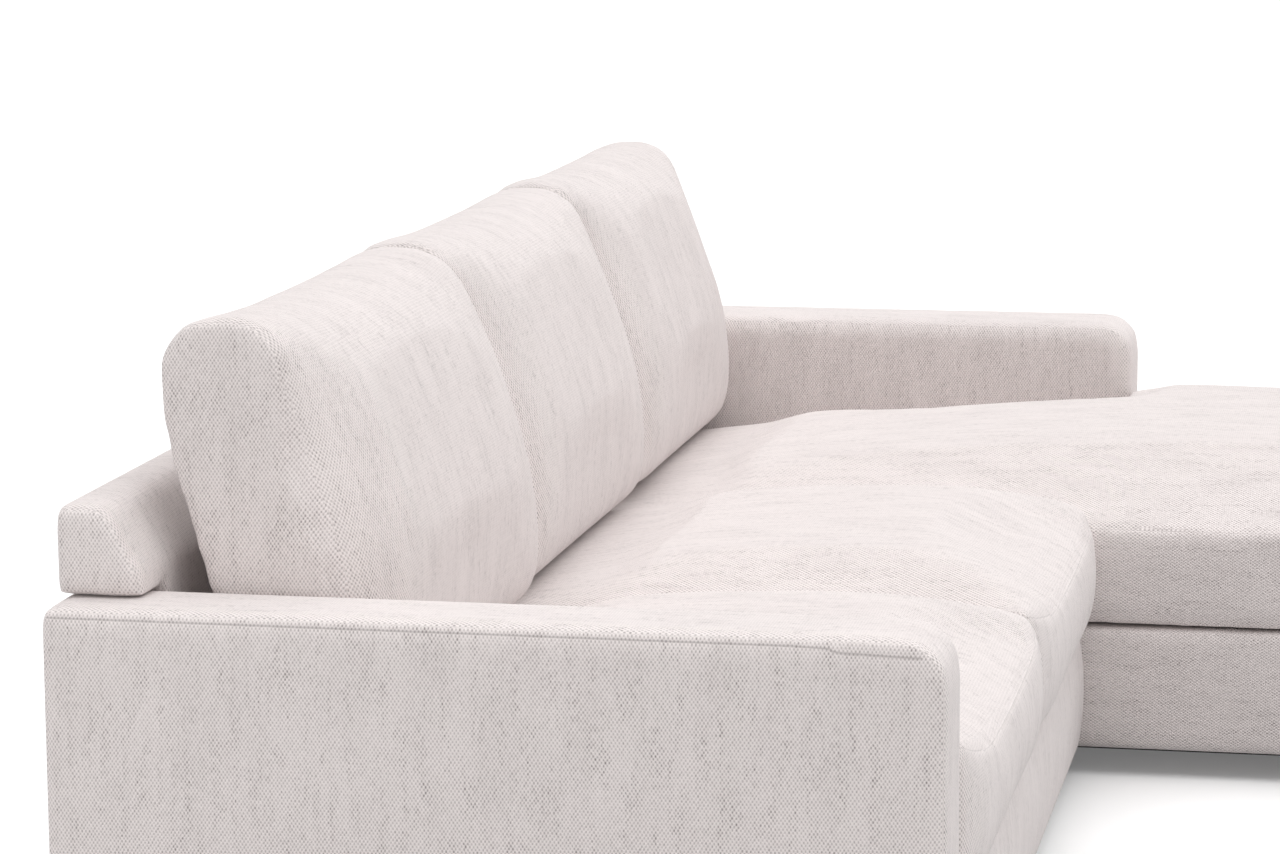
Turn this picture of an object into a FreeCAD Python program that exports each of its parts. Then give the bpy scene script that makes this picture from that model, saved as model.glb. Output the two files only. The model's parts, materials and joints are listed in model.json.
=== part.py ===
import FreeCAD, Part
import Sketcher

import math
import os
import re

# A sectional sofa of two upholstered sections joined side by side: a two-seat section with the near arm
# and a chaise section with the far arm. X runs along the back from the near arm to the far arm, the
# sitter faces -Y, and Z is up from the floor. The origin is at the middle of the bounding box, on the floor.

# The driving dimensions, in millimetres.
SIZES = {
    "overall_width": 2630,
    "seat_section_width": 1692,
    "chaise_depth": 1640,
    "section_gap": 1,
    "joint_gap": 0.3,
    # arms
    "arm_thickness": 150,
    "arm_depth": 1000,
    "arm_height": 569,
    "arm_front_radius": 42,
    "arm_inner_radius": 34,
    "arm_outer_radius": 9,
    "arm_padding": 20,
    "arm_panel_thickness": 9,
    "arm_post_width": 60,
    "arm_rail_height": 45,
    # low upholstered back
    "back_height": 673,
    "back_top_depth": 60,
    "back_shoulder_depth": 101,
    "back_shoulder_height": 594,
    "back_foot_depth": 135,
    "back_end_inset": 57,
    "back_rear_radius": 16,
    "back_top_radius": 20,
    "back_padding": 12,
    "back_post_width": 60,
    "back_post_depth": 46,
    "back_rail_height": 50,
    "back_rail_depth": 34,
    "back_panel_thickness": 5,
    # bases
    "floor_gap": 40,
    "deck_height": 225,
    "base_setback": 2,
    "base_padding": 10,
    "base_edge_radius": 8,
    "rail_thickness": 30,
    "beam_thickness": 45,
    "dust_cover_thickness": 2,
    "deck_pad_thickness": 6,
    # zigzag springs
    "spring_wire": 4,
    "spring_spacing": 190,
    "spring_pitch": 84,
    "spring_width": 48,
    "spring_bearing": 18,
    # feet and joining plates
    "foot_top_half": 30,
    "foot_floor_half": 23,
    "foot_inset": 75,
    "plate_length": 150,
    "plate_width": 42,
    "plate_thickness": 3,
    "plate_hole_radius": 3.2,
    "plate_hole_inset": 30,
    "plate_inset": 160,
    # loose seat cushions
    "cushion_gap": 0.6,
    "cushion_overhang": 22,
    "seat_rear_thickness": 137,
    "seat_heel_thickness": 180,
    "seat_crown_thickness": 212,
    "chaise_crown_thickness": 237,
    "seat_front_round": 60,
    "seat_front_drop": 14,
    "seat_front_taper": 20,
    "seat_front_taper_height": 60,
    "seat_side_radius": 40,
    "seat_wrap": 24,
    # loose back cushions
    "back_cushion_height": 496,
    "back_cushion_depth": 352,
    "back_cushion_foot": 195,
    "back_cushion_head": 92,
    "back_cushion_bend": 332,
    "back_cushion_brow": 205,
    "back_cushion_bulge": 45,
    "back_cushion_bend_depth": 100,
    "back_cushion_heel_round": 36,
    "back_cushion_bend_round": 150,
    "back_cushion_crest_round": 51,
    "back_cushion_brow_round": 66,
    "back_cushion_toe_round": 60,
    "back_cushion_bevel": 18,
    "back_wrap": 30,
    "back_core_head_inset": 78,
    "back_core_crest_inset": 33,
    "back_core_brow_inset": 15,
    "back_core_toe_inset": 42,
}

doc = FreeCAD.newDocument("sectional_sofa")
sheet = doc.addObject("Spreadsheet::Sheet", "Sizes")
for row, (alias, number) in enumerate(SIZES.items(), start=1):
    sheet.set(f"A{row}", alias)
    sheet.set(f"B{row}", str(number))
    sheet.setAlias(f"B{row}", alias)
doc.recompute()

PARTS = []

# Places that many pieces share, as expressions of the driving dimensions.
NEAR = "(-overall_width / 2)"
FAR = "(overall_width / 2)"
REAR = "((chaise_depth + cushion_overhang) / 2)"
NEAR_INNER = f"({NEAR} + arm_thickness)"
FAR_INNER = f"({FAR} - arm_thickness)"
JOIN = f"({NEAR} + seat_section_width)"
ARM_FRONT = f"({REAR} - arm_depth)"
BACK_FRONT = f"({REAR} - back_foot_depth)"
SEAT_BASE_FRONT = f"({ARM_FRONT} + base_setback)"
CHAISE_BASE_FRONT = f"({REAR} - chaise_depth)"


def full(text):
    """The expression with each driving dimension's name led by the sheet's name."""
    return re.sub(r"[a-z][a-z_]+[a-z]", lambda m: "Sizes." + m[0] if m[0] in SIZES else m[0], text)


def bind(thing, **expressions):
    for name, text in expressions.items():
        thing.setExpression(name, full(text))


def place(thing, x, y, z):
    for axis, text in zip("xyz", (x, y, z)):
        thing.setExpression(f"Placement.Base.{axis}", full(text))


def size(name):
    return float(sheet.get(name))


def keep(thing, label):
    thing.Label = label
    PARTS.append(thing)
    return thing


def span(low, high):
    return f"({high}) - ({low})"


def board(label, x, y, z):
    """A squared board between two planes on each axis, each axis given as (low, high)."""
    box = doc.addObject("Part::Box", label)
    bind(box, Length=span(*x), Width=span(*y), Height=span(*z))
    place(box, x[0], y[0], z[0])
    return keep(box, label)


def new_body(label, x, y, z):
    body = doc.addObject("PartDesign::Body", label)
    place(body, x, y, z)
    return keep(body, label)


def block(body, kind, name, at, extent):
    """A block added to or cut from a body, placed in the body's own frame."""
    box = body.newObject(f"PartDesign::{kind}Box", name)
    bind(box, Length=extent[0], Width=extent[1], Height=extent[2])
    place(box, *at)
    doc.recompute()
    return box


def origin_plane(body, role):
    return next(f for f in body.Origin.OriginFeatures if f.Role == role)


def hold(sketch, index, point, x, y):
    """Fixes a point of the sketch's geometry at a place given by two expressions."""
    for kind, text in (("DistanceX", x), ("DistanceY", y)):
        start = getattr(sketch.getPoint(index, point), kind[-1].lower())
        number = sketch.addConstraint(Sketcher.Constraint(kind, -1, 1, index, point, start))
        sketch.setExpression(f"Constraints[{number}]", full(text))


def outline(body, name, role, corners, shift="0"):
    """A closed sketch on an origin plane. A corner is (x, y), or (x, y, via x, via y) where the edge that
    leaves it is an arc through that second point."""
    sketch = body.newObject("Sketcher::SketchObject", name)
    sketch.AttachmentSupport = (origin_plane(body, role), "")
    sketch.MapMode = "FlatFace"
    sketch.setExpression("AttachmentOffset.Base.z", full(shift))
    ends = [FreeCAD.Vector(value(c[0]), value(c[1])) for c in corners]
    edges = []
    for i, corner in enumerate(corners):
        start, end = ends[i], ends[(i + 1) % len(ends)]
        if len(corner) == 2:
            edges.append((sketch.addGeometry(Part.LineSegment(start, end), False), 1, 2))
            continue
        via = FreeCAD.Vector(value(corner[2]), value(corner[3]))
        arc = sketch.addGeometry(Part.Arc(start, via, end), False)
        first = (sketch.getPoint(arc, 1) - start).Length < 1e-3
        edges.append((arc, 1, 2) if first else (arc, 2, 1))
        guide = sketch.addGeometry(Part.Point(via), True)
        sketch.addConstraint(Sketcher.Constraint("PointOnObject", guide, 1, arc))
        hold(sketch, guide, 1, corner[2], corner[3])
    for (edge, head, tail), (following, start, _) in zip(edges, edges[1:] + edges[:1]):
        sketch.addConstraint(Sketcher.Constraint("Coincident", edge, tail, following, start))
    for (edge, head, _), corner in zip(edges, corners):
        hold(sketch, edge, head, corner[0], corner[1])
    doc.recompute()
    return sketch


def value(text):
    """The present value of an expression of the driving dimensions."""
    return float(doc.getObject("Sizes").evalExpression(re.sub(r"Sizes\.", "", full(text))))


def pad(body, name, sketch, length):
    feature = body.newObject("PartDesign::Pad", name)
    feature.Profile = sketch
    bind(feature, Length=length)
    doc.recompute()
    return feature


def cavity(body, name, sketch, length):
    """A closed hollow inside the body, which must take away the sketch's area times the length."""
    before = body.Shape.Volume
    feature = body.newObject("PartDesign::Pocket", name)
    feature.Profile = sketch
    feature.Reversed = True
    bind(feature, Length=length)
    doc.recompute()
    if body.Shape.Volume > before * 0.999:
        raise RuntimeError(f"{name} cuts nothing")
    return feature


def round_edges(body, name, radius, chosen):
    """Rounds the edges of the body for which chosen(bounds) is true."""
    tip = body.Tip
    edges = [f"Edge{i}" for i, edge in enumerate(tip.Shape.Edges, start=1) if chosen(edge.BoundBox)]
    if not edges:
        raise RuntimeError(f"{name} finds no edge")
    fillet = body.newObject("PartDesign::Fillet", name)
    fillet.Base = (tip, edges)
    bind(fillet, Radius=radius)
    doc.recompute()
    return fillet


def bevel_edges(body, name, setback, chosen):
    """Bevels the edges of the body for which chosen(bounds) is true."""
    tip = body.Tip
    edges = [f"Edge{i}" for i, edge in enumerate(tip.Shape.Edges, start=1) if chosen(edge.BoundBox)]
    bevel = body.newObject("PartDesign::Chamfer", name)
    bevel.Base = (tip, edges)
    bind(bevel, Size=setback)
    doc.recompute()
    return bevel


def near(a, b):
    return abs(a - b) < 0.01


def along_x(bounds):
    return bounds.YLength < 0.01 and bounds.ZLength < 0.01


def make_arm(side, outer, inner_is_high):
    """An arm: a padded cover drawn over a box frame of two panels, two posts and a top rail."""
    low = outer if inner_is_high else f"{outer} - arm_thickness"
    cover = new_body(f"{side}_arm_cover", low, ARM_FRONT, "floor_gap")
    block(cover, "Additive", f"{side}_arm_form", ("0", "0", "0"),
          ("arm_thickness", "arm_depth", "arm_height - floor_gap"))
    top, width = size("arm_height") - size("floor_gap"), size("arm_thickness")
    inner_x, outer_x = (width, 0) if inner_is_high else (0, width)
    round_edges(cover, f"{side}_arm_front_round", "arm_front_radius",
                lambda b: along_x(b) and near(b.YMax, 0) and near(b.ZMax, top))
    round_edges(cover, f"{side}_arm_inner_round", "arm_inner_radius",
                lambda b: near(b.XMin, inner_x) and near(b.XMax, inner_x) and near(b.ZMax, top))
    round_edges(cover, f"{side}_arm_outer_round", "arm_outer_radius",
                lambda b: near(b.XMin, outer_x) and near(b.XMax, outer_x) and near(b.ZMax, top))
    block(cover, "Subtractive", f"{side}_arm_hollow", ("arm_padding", "arm_padding", "arm_padding"),
          ("arm_thickness - 2 * arm_padding", "arm_depth - 2 * arm_padding",
           "arm_height - floor_gap - 2 * arm_padding"))

    x0, x1 = f"{low} + arm_padding + joint_gap", f"{low} + arm_thickness - arm_padding - joint_gap"
    y0, y1 = f"{ARM_FRONT} + arm_padding + joint_gap", f"{REAR} - arm_padding - joint_gap"
    z0, z1 = "floor_gap + arm_padding + joint_gap", "arm_height - arm_padding - joint_gap"
    first, last = ("outer", "inner") if inner_is_high else ("inner", "outer")
    board(f"{side}_arm_{first}_panel", (x0, f"{x0} + arm_panel_thickness"), (y0, y1), (z0, z1))
    board(f"{side}_arm_{last}_panel", (f"{x1} - arm_panel_thickness", x1), (y0, y1), (z0, z1))
    between = (f"{x0} + arm_panel_thickness + joint_gap", f"{x1} - arm_panel_thickness - joint_gap")
    under_rail = (z0, f"{z1} - arm_rail_height - joint_gap")
    board(f"{side}_arm_front_post", between, (y0, f"{y0} + arm_post_width"), under_rail)
    board(f"{side}_arm_rear_post", between, (f"{y1} - arm_post_width", y1), under_rail)
    board(f"{side}_arm_top_rail", between, (y0, y1), (f"{z1} - arm_rail_height", z1))


def back_outline(inset):
    """The back's end outline, seen along X, drawn inwards by inset: upright behind, and in front sloped down
    to a shoulder. A corner on the slope moves by less, so that the wall stays about even."""
    return [
        (f"-({inset})", f"floor_gap + {inset}"),
        (f"-({inset})", f"back_height - {inset}"),
        (f"-back_top_depth + 0.6 * {inset}", f"back_height - {inset}"),
        (f"-back_shoulder_depth + {inset}", f"back_shoulder_height - 0.3 * {inset}"),
        (f"-back_foot_depth + {inset}", f"deck_height - {inset}"),
        (f"-back_foot_depth + {inset}", f"floor_gap + {inset}"),
    ]


def make_back(section, x0, x1, arm_at_low, posts):
    """A low back: a padded cover that runs between the arm and the other section, with its end standing
    on top of the arm, over posts, a top rail and a board behind."""
    inner = NEAR_INNER if arm_at_low else FAR_INNER
    cover = new_body(f"{section}_back_cover", x0, REAR, "0")
    pad(cover, f"{section}_back_form", outline(cover, f"{section}_back_outline", "YZ_Plane",
                                               back_outline("0")), span(x0, x1))
    top = size("back_height")
    rear, brow = 0, -size("back_top_depth")
    round_edges(cover, f"{section}_back_rear_round", "back_rear_radius",
                lambda b: along_x(b) and near(b.ZMax, top) and near(b.YMax, rear))
    round_edges(cover, f"{section}_back_brow_round", "back_top_radius",
                lambda b: along_x(b) and near(b.ZMax, top) and near(b.YMax, brow))
    over_arm = "arm_thickness - back_end_inset + joint_gap"
    notch_x = "0" if arm_at_low else f"{span(x0, x1)} - ({over_arm})"
    block(cover, "Subtractive", f"{section}_back_notch", (notch_x, "-2 * back_foot_depth", "0"),
          (over_arm, "3 * back_foot_depth", "arm_height + joint_gap"))
    low = f"({inner} + joint_gap + back_padding)" if arm_at_low else f"({x0} + back_padding)"
    high = f"({x1} - back_padding)" if arm_at_low else f"({inner} - joint_gap - back_padding)"
    hollow = outline(cover, f"{section}_back_hollow_outline", "YZ_Plane", back_outline("back_padding"),
                     span(x0, low))
    cavity(cover, f"{section}_back_hollow", hollow, span(low, high))

    x_low, x_high = f"{low} + joint_gap", f"{high} - joint_gap"
    behind = f"{REAR} - back_padding - joint_gap"
    before_panel = f"{behind} - back_panel_thickness - joint_gap"
    z0, z1 = "floor_gap + back_padding + joint_gap", "back_height - back_padding - joint_gap"
    board(f"{section}_back_panel", (x_low, x_high), (f"{behind} - back_panel_thickness", behind), (z0, z1))
    board(f"{section}_back_top_rail", (x_low, x_high), (f"{before_panel} - back_rail_depth", before_panel),
          (f"{z1} - back_rail_height", z1))
    for name, share in posts:
        start = f"{x_low} + ({span(x_low, x_high)} - back_post_width) * {share}"
        board(f"{section}_back_{name}_post", (start, f"{start} + back_post_width"),
              (f"{before_panel} - back_post_depth", before_panel),
              (z0, f"{z1} - back_rail_height - joint_gap"))


def base_levels():
    """Heights inside a base, from the dust cover up to the padded top."""
    rail_foot = "(floor_gap + dust_cover_thickness + joint_gap)"
    pad_top = "(deck_height - base_padding - joint_gap)"
    spring_top = f"({pad_top} - deck_pad_thickness - joint_gap)"
    rail_top = f"({spring_top} - spring_wire - joint_gap)"
    return rail_foot, rail_top, spring_top, pad_top


def zigzag(start, end, width, pitch, wire):
    """The flat outline of one zigzag spring from start to end. A bend is a crown between two shoulders."""
    count = max(2, int(round((end - start) / pitch)))
    step = (end - start) / count
    half, shoulder, reach = (width - wire) / 2, 0.25 * step, 0.6
    centre = [(start, 0)]
    for i in range(count):
        middle, side = start + step * (i + 0.5), half if i % 2 else -half
        centre += [(middle - shoulder, reach * side), (middle, side), (middle + shoulder, reach * side)]
    centre.append((end, 0))
    left, right = [], []
    for i, (u, v) in enumerate(centre):
        before, after = centre[max(i - 1, 0)], centre[min(i + 1, len(centre) - 1)]
        du, dv = after[0] - before[0], after[1] - before[1]
        length = math.hypot(du, dv)
        nu, nv = -dv / length * wire / 2, du / length * wire / 2
        left.append((u + nu, v + nv))
        right.append((u - nu, v - nv))
    return left + right[::-1]


def make_springs(label, along_y, starts, run):
    """A row of zigzag springs, flat wire forms that lie across two rails."""
    low, high = (value(text) for text in run)
    _, _, spring_top, _ = base_levels()
    bottom = value(spring_top) - size("spring_wire")
    shapes = []
    for start in starts:
        points = zigzag(low, high, size("spring_width"), size("spring_pitch"), size("spring_wire"))
        corners = [FreeCAD.Vector(start + v, u, bottom) if along_y else FreeCAD.Vector(u, start + v, bottom)
                   for u, v in points]
        face = Part.Face(Part.makePolygon(corners + corners[:1]))
        shapes.append(face.extrude(FreeCAD.Vector(0, 0, size("spring_wire"))))
    springs = doc.addObject("Part::Feature", label)
    springs.Shape = Part.makeCompound(shapes)
    springs.Placement = FreeCAD.Placement()
    keep(springs, label)


def spread(low, high, spacing):
    """Even places between low and high, as near to the spacing as whole bays allow."""
    bays = max(2, int(round((high - low) / spacing)))
    return [low + (high - low) * (i + 0.5) / bays for i in range(bays)]


def make_seat_base():
    """The two-seat base: a padded cover over four rails, a centre beam, springs and a deck pad."""
    x0, x1 = f"({NEAR_INNER} + joint_gap)", f"({JOIN} - section_gap / 2)"
    y0, y1 = SEAT_BASE_FRONT, f"({BACK_FRONT} - joint_gap)"
    rail_foot, rail_top, _, pad_top = base_levels()
    cover = new_body("seat_base_cover", x0, y0, "floor_gap")
    block(cover, "Additive", "seat_base_form", ("0", "0", "0"),
          (span(x0, x1), span(y0, y1), "deck_height - floor_gap"))
    round_edges(cover, "seat_base_front_round", "base_edge_radius", lambda b: along_x(b) and near(b.YMax, 0))
    block(cover, "Subtractive", "seat_base_hollow", ("base_padding", "base_padding", "0"),
          (f"{span(x0, x1)} - 2 * base_padding", f"{span(y0, y1)} - 2 * base_padding",
           "deck_height - floor_gap - base_padding"))
    left, right = f"({x0} + base_padding + joint_gap)", f"({x1} - base_padding - joint_gap)"
    front, back = f"({y0} + base_padding + joint_gap)", f"({y1} - base_padding - joint_gap)"
    board("seat_dust_cover", (left, right), (front, back), ("floor_gap", "floor_gap + dust_cover_thickness"))
    height = (rail_foot, rail_top)
    board("seat_base_front_rail", (left, right), (front, f"{front} + rail_thickness"), height)
    board("seat_base_rear_rail", (left, right), (f"{back} - rail_thickness", back), height)
    run = (f"({front} + rail_thickness + joint_gap)", f"({back} - rail_thickness - joint_gap)")
    board("seat_base_near_rail", (left, f"{left} + rail_thickness"), run, height)
    board("seat_base_far_rail", (f"{right} - rail_thickness", right), run, height)
    middle = f"({left} + {right}) / 2"
    board("seat_base_centre_beam", (f"{middle} - beam_thickness / 2", f"{middle} + beam_thickness / 2"),
          run, height)
    board("seat_deck_pad", (left, right), (front, back), (f"{pad_top} - deck_pad_thickness", pad_top))
    inside = value(left) + size("rail_thickness"), value(right) - size("rail_thickness")
    make_springs("seat_springs", True, spread(*inside, size("spring_spacing")),
                 (f"{front} + rail_thickness - spring_bearing", f"{back} - rail_thickness + spring_bearing"))


def make_chaise_base():
    """The chaise base, stepped in plan: in front of the arm it is as wide as the whole section."""
    x0, x1, x2 = f"({JOIN} + section_gap / 2)", f"({FAR_INNER} - joint_gap)", FAR
    y0, y1, y2 = CHAISE_BASE_FRONT, f"({ARM_FRONT} - joint_gap)", f"({BACK_FRONT} - joint_gap)"
    rail_foot, rail_top, _, pad_top = base_levels()
    cover = new_body("chaise_base_cover", x0, y0, "floor_gap")

    def plan(inset):
        wide, narrow = f"{span(x0, x2)} - {inset}", f"{span(x0, x1)} - {inset}"
        step, deep = f"{span(y0, y1)} - {inset}", f"{span(y0, y2)} - {inset}"
        return [(inset, inset), (wide, inset), (wide, step), (narrow, step), (narrow, deep), (inset, deep)]

    pad(cover, "chaise_base_form", outline(cover, "chaise_base_plan", "XY_Plane", plan("0")),
        "deck_height - floor_gap")
    round_edges(cover, "chaise_base_front_round", "base_edge_radius",
                lambda b: along_x(b) and near(b.YMax, 0))
    hollow = outline(cover, "chaise_base_hollow_plan", "XY_Plane", plan("base_padding"))
    cavity(cover, "chaise_base_hollow", hollow, "deck_height - floor_gap - base_padding")
    left = f"({x0} + base_padding + joint_gap)"
    inner, outer = f"({x1} - base_padding - joint_gap)", f"({x2} - base_padding - joint_gap)"
    front, back = f"({y0} + base_padding + joint_gap)", f"({y2} - base_padding - joint_gap)"
    step = f"({y1} - base_padding - joint_gap)"
    for label, low, high in (
        ("chaise_dust_cover", "floor_gap", "floor_gap + dust_cover_thickness"),
        ("chaise_deck_pad", f"{pad_top} - deck_pad_thickness", pad_top),
    ):
        sheet_body = new_body(label, left, front, low)
        corners = [("0", "0"), (span(left, outer), "0"), (span(left, outer), span(front, step)),
                   (span(left, inner), span(front, step)), (span(left, inner), span(front, back)),
                   ("0", span(front, back))]
        pad(sheet_body, f"{label}_form", outline(sheet_body, f"{label}_plan", "XY_Plane", corners),
            span(low, high))
    height = (rail_foot, rail_top)
    board("chaise_base_front_rail", (left, outer), (front, f"{front} + rail_thickness"), height)
    board("chaise_base_rear_rail", (left, inner), (f"{back} - rail_thickness", back), height)
    behind_front = f"({front} + rail_thickness + joint_gap)"
    before_rear = f"({back} - rail_thickness - joint_gap)"
    board("chaise_base_inner_rail", (left, f"{left} + rail_thickness"), (behind_front, before_rear), height)
    board("chaise_base_outer_rail", (f"{outer} - rail_thickness", outer), (behind_front, step), height)
    arm_rail = (f"{inner} - rail_thickness", inner)
    board("chaise_base_arm_rail", arm_rail, (behind_front, before_rear), height)
    across = (f"{left} + rail_thickness + joint_gap", f"{inner} - rail_thickness - joint_gap")
    board("chaise_base_cross_beam", across, (f"{ARM_FRONT} - beam_thickness", ARM_FRONT), height)
    inside = value(front) + size("rail_thickness"), value(back) - size("rail_thickness")
    make_springs("chaise_springs", False, spread(*inside, size("spring_spacing")),
                 (f"{left} + rail_thickness - spring_bearing", f"{inner} - rail_thickness + spring_bearing"))


def make_feet(label, places):
    """Low square feet that taper to the floor, each under a corner of a section."""
    feet = []
    for number, (x, y) in enumerate(places, start=1):
        foot = doc.addObject("Part::Wedge", f"{label}_{number}")
        bind(foot, Xmin="-foot_top_half", Xmax="foot_top_half", Zmin="-foot_top_half", Zmax="foot_top_half",
             Ymin="0", Ymax="floor_gap", X2min="-foot_floor_half", X2max="foot_floor_half",
             Z2min="-foot_floor_half", Z2max="foot_floor_half")
        foot.Placement = FreeCAD.Placement(FreeCAD.Vector(), FreeCAD.Rotation(FreeCAD.Vector(1, 0, 0), -90))
        place(foot, x, y, "floor_gap")
        feet.append(foot)
    group = doc.addObject("Part::Compound", label)
    group.Links = feet
    keep(group, label)


def make_plate(label, y):
    """A flat steel plate screwed under both bases across their joint, with a screw hole on each side."""
    plate = new_body(label, f"{JOIN} - plate_length / 2", y, "floor_gap - plate_thickness")
    block(plate, "Additive", f"{label}_form", ("0", "-plate_width / 2", "0"),
          ("plate_length", "plate_width", "plate_thickness"))
    for number, along in enumerate(("plate_hole_inset", "plate_length - plate_hole_inset"), start=1):
        hole = plate.newObject("PartDesign::SubtractiveCylinder", f"{label}_hole_{number}")
        bind(hole, Radius="plate_hole_radius", Height="3 * plate_thickness")
        place(hole, along, "0", "-plate_thickness")
        doc.recompute()


def seat_outline(front, crown):
    """A seat cushion seen along X, with y measured from the sofa's rear: it rises evenly where the back
    cushion stands on it, and is crowned from that heel to the front."""
    foot = "(deck_height + cushion_gap)"
    rear_top = "(deck_height + seat_rear_thickness)"
    top = f"(deck_height + {crown})"
    crown_at = f"-(back_cushion_depth + {front}) / 2"
    return [
        ("-(back_foot_depth + cushion_gap)", foot),
        ("-(back_foot_depth + cushion_gap)", rear_top),
        ("-back_cushion_depth", "deck_height + seat_heel_thickness", crown_at, top),
        (f"-{front}", f"{top} - seat_front_drop"),
        (f"-{front}", f"{foot} + seat_front_taper_height"),
        (f"-({front} - seat_front_taper)", foot),
    ]


def seat_cushion(name, x0, x1, front, crown, beside_arm=None):
    """A seat cushion cover, hollow round its foam core."""
    cover = new_body(f"{name}_cover", x0, REAR, "0")
    pad(cover, f"{name}_form", outline(cover, f"{name}_outline", "YZ_Plane", seat_outline(front, crown)),
        span(x0, x1))
    low_top = size("deck_height") + size("seat_rear_thickness")
    tip = -value(front)
    round_edges(cover, f"{name}_front_round", "seat_front_round",
                lambda b: along_x(b) and near(b.YMin, tip) and b.ZMin > low_top)
    ends = (0, value(span(x0, x1)))
    round_edges(cover, f"{name}_side_round", "seat_side_radius",
                lambda b: b.XLength < 0.01 and any(near(b.XMin, e) for e in ends)
                and b.ZMax > low_top + 1 and b.YMin < -size("back_cushion_foot"))
    if beside_arm:
        past_arm = f"{span(beside_arm, x1)} + cushion_gap"
        block(cover, "Subtractive", f"{name}_step",
              (f"{span(x0, beside_arm)} - cushion_gap", "-arm_depth - cushion_gap", "0"),
              (past_arm, "2 * arm_depth", "2 * arm_height"))
    reach = f"{span(x0, beside_arm)} - cushion_gap" if beside_arm else span(x0, x1)
    wide = f"({reach} - 2 * seat_wrap)"
    deep = f"({front} - seat_front_taper - back_foot_depth - cushion_gap - 2 * seat_wrap)"
    thick = "(seat_rear_thickness - cushion_gap - 2 * seat_wrap)"
    hollow_front = f"-({front} - seat_front_taper - seat_wrap)"
    hollow_foot = "deck_height + cushion_gap + seat_wrap"
    hollow_at = ("seat_wrap", hollow_front, hollow_foot)
    block(cover, "Subtractive", f"{name}_hollow", hollow_at, (wide, deep, thick))
    y0 = f"{REAR} + {hollow_front} + joint_gap"
    z0 = f"{hollow_foot} + joint_gap"
    board(f"{name}_core", (f"{x0} + seat_wrap + joint_gap", f"{x0} + seat_wrap + {wide} - joint_gap"),
          (y0, f"{y0} + {deep} - 2 * joint_gap"), (z0, f"{z0} + {thick} - 2 * joint_gap"))


HEEL_REACH = "(back_cushion_depth - back_foot_depth - cushion_gap)"
SEAT_SLOPE = f"((seat_heel_thickness - seat_rear_thickness) / {HEEL_REACH})"
BACK_CUSHION_TOE = "(deck_height + seat_heel_thickness + cushion_gap)"
BACK_CUSHION_FOOT = f"({BACK_CUSHION_TOE} - {SEAT_SLOPE} * (back_cushion_depth - back_cushion_foot))"
BACK_CUSHION_TOP = f"({BACK_CUSHION_FOOT} + back_cushion_height)"


def back_cushion_outline():
    """A back cushion seen along X: it leans back against the low back and is fullest in front low down."""
    foot, head = BACK_CUSHION_FOOT, BACK_CUSHION_TOP
    return [
        ("-back_cushion_foot", foot),
        ("-back_cushion_bend_depth", f"{foot} + back_cushion_bend"),
        ("-back_cushion_head", head),
        ("-back_cushion_brow", head, "-((back_cushion_brow + back_cushion_depth) / 2 + back_cushion_bulge)",
         f"({head} + {BACK_CUSHION_TOE}) / 2"),
        ("-back_cushion_depth", BACK_CUSHION_TOE),
    ]


def back_core_outline(gap):
    foot, head = BACK_CUSHION_FOOT, BACK_CUSHION_TOP
    return [
        (f"-(back_cushion_foot + back_wrap) - {gap}", f"{foot} + back_wrap + {gap}"),
        (f"-(back_cushion_head + back_core_crest_inset) - {gap}", f"{head} - back_core_head_inset - {gap}"),
        (f"-(back_cushion_brow + back_core_brow_inset) + {gap}", f"{head} - back_core_head_inset - {gap}"),
        (f"-(back_cushion_depth - back_core_toe_inset) + {gap}", f"{BACK_CUSHION_TOE} + back_wrap + {gap}"),
    ]


def back_cushion(name, x0, x1):
    """A back cushion cover, hollow round its filling, standing on the seat cushions."""
    cover = new_body(f"{name}_cover", x0, REAR, "0")
    pad(cover, f"{name}_form", outline(cover, f"{name}_outline", "YZ_Plane", back_cushion_outline()),
        span(x0, x1))
    foot, toe, head = value(BACK_CUSHION_FOOT), value(BACK_CUSHION_TOE), value(BACK_CUSHION_TOP)
    for corner, depth, height in (
        ("heel", "back_cushion_foot", foot),
        ("bend", "back_cushion_bend_depth", foot + size("back_cushion_bend")),
        ("crest", "back_cushion_head", head),
        ("brow", "back_cushion_brow", head),
        ("toe", "back_cushion_depth", toe),
    ):
        y = -size(depth)
        round_edges(cover, f"{name}_{corner}_round", f"back_cushion_{corner}_round",
                    lambda b: along_x(b) and near(b.YMin, y) and near(b.ZMin, height))
    ends = (0, value(span(x0, x1)))
    bevel_edges(cover, f"{name}_side_bevel", "back_cushion_bevel",
                lambda b: b.XLength < 0.01 and any(near(b.XMin, e) for e in ends))
    hollow = outline(cover, f"{name}_hollow_outline", "YZ_Plane", back_core_outline("0"), "back_wrap")
    cavity(cover, f"{name}_hollow", hollow, f"{span(x0, x1)} - 2 * back_wrap")
    core = new_body(f"{name}_core", f"{x0} + back_wrap + joint_gap", REAR, "0")
    pad(core, f"{name}_core_form", outline(core, f"{name}_core_outline", "YZ_Plane",
                                           back_core_outline("joint_gap")),
        f"{span(x0, x1)} - 2 * back_wrap - 2 * joint_gap")


make_arm("near", NEAR, True)
make_arm("far", FAR, False)
make_back("seat", f"({NEAR} + back_end_inset)", f"({JOIN} - section_gap / 2)", True,
          (("near", "0"), ("centre", "0.5"), ("far", "1")))
make_back("chaise", f"({JOIN} + section_gap / 2)", f"({FAR} - back_end_inset)", False,
          (("inner", "0"), ("outer", "1")))
make_seat_base()
make_chaise_base()

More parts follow.
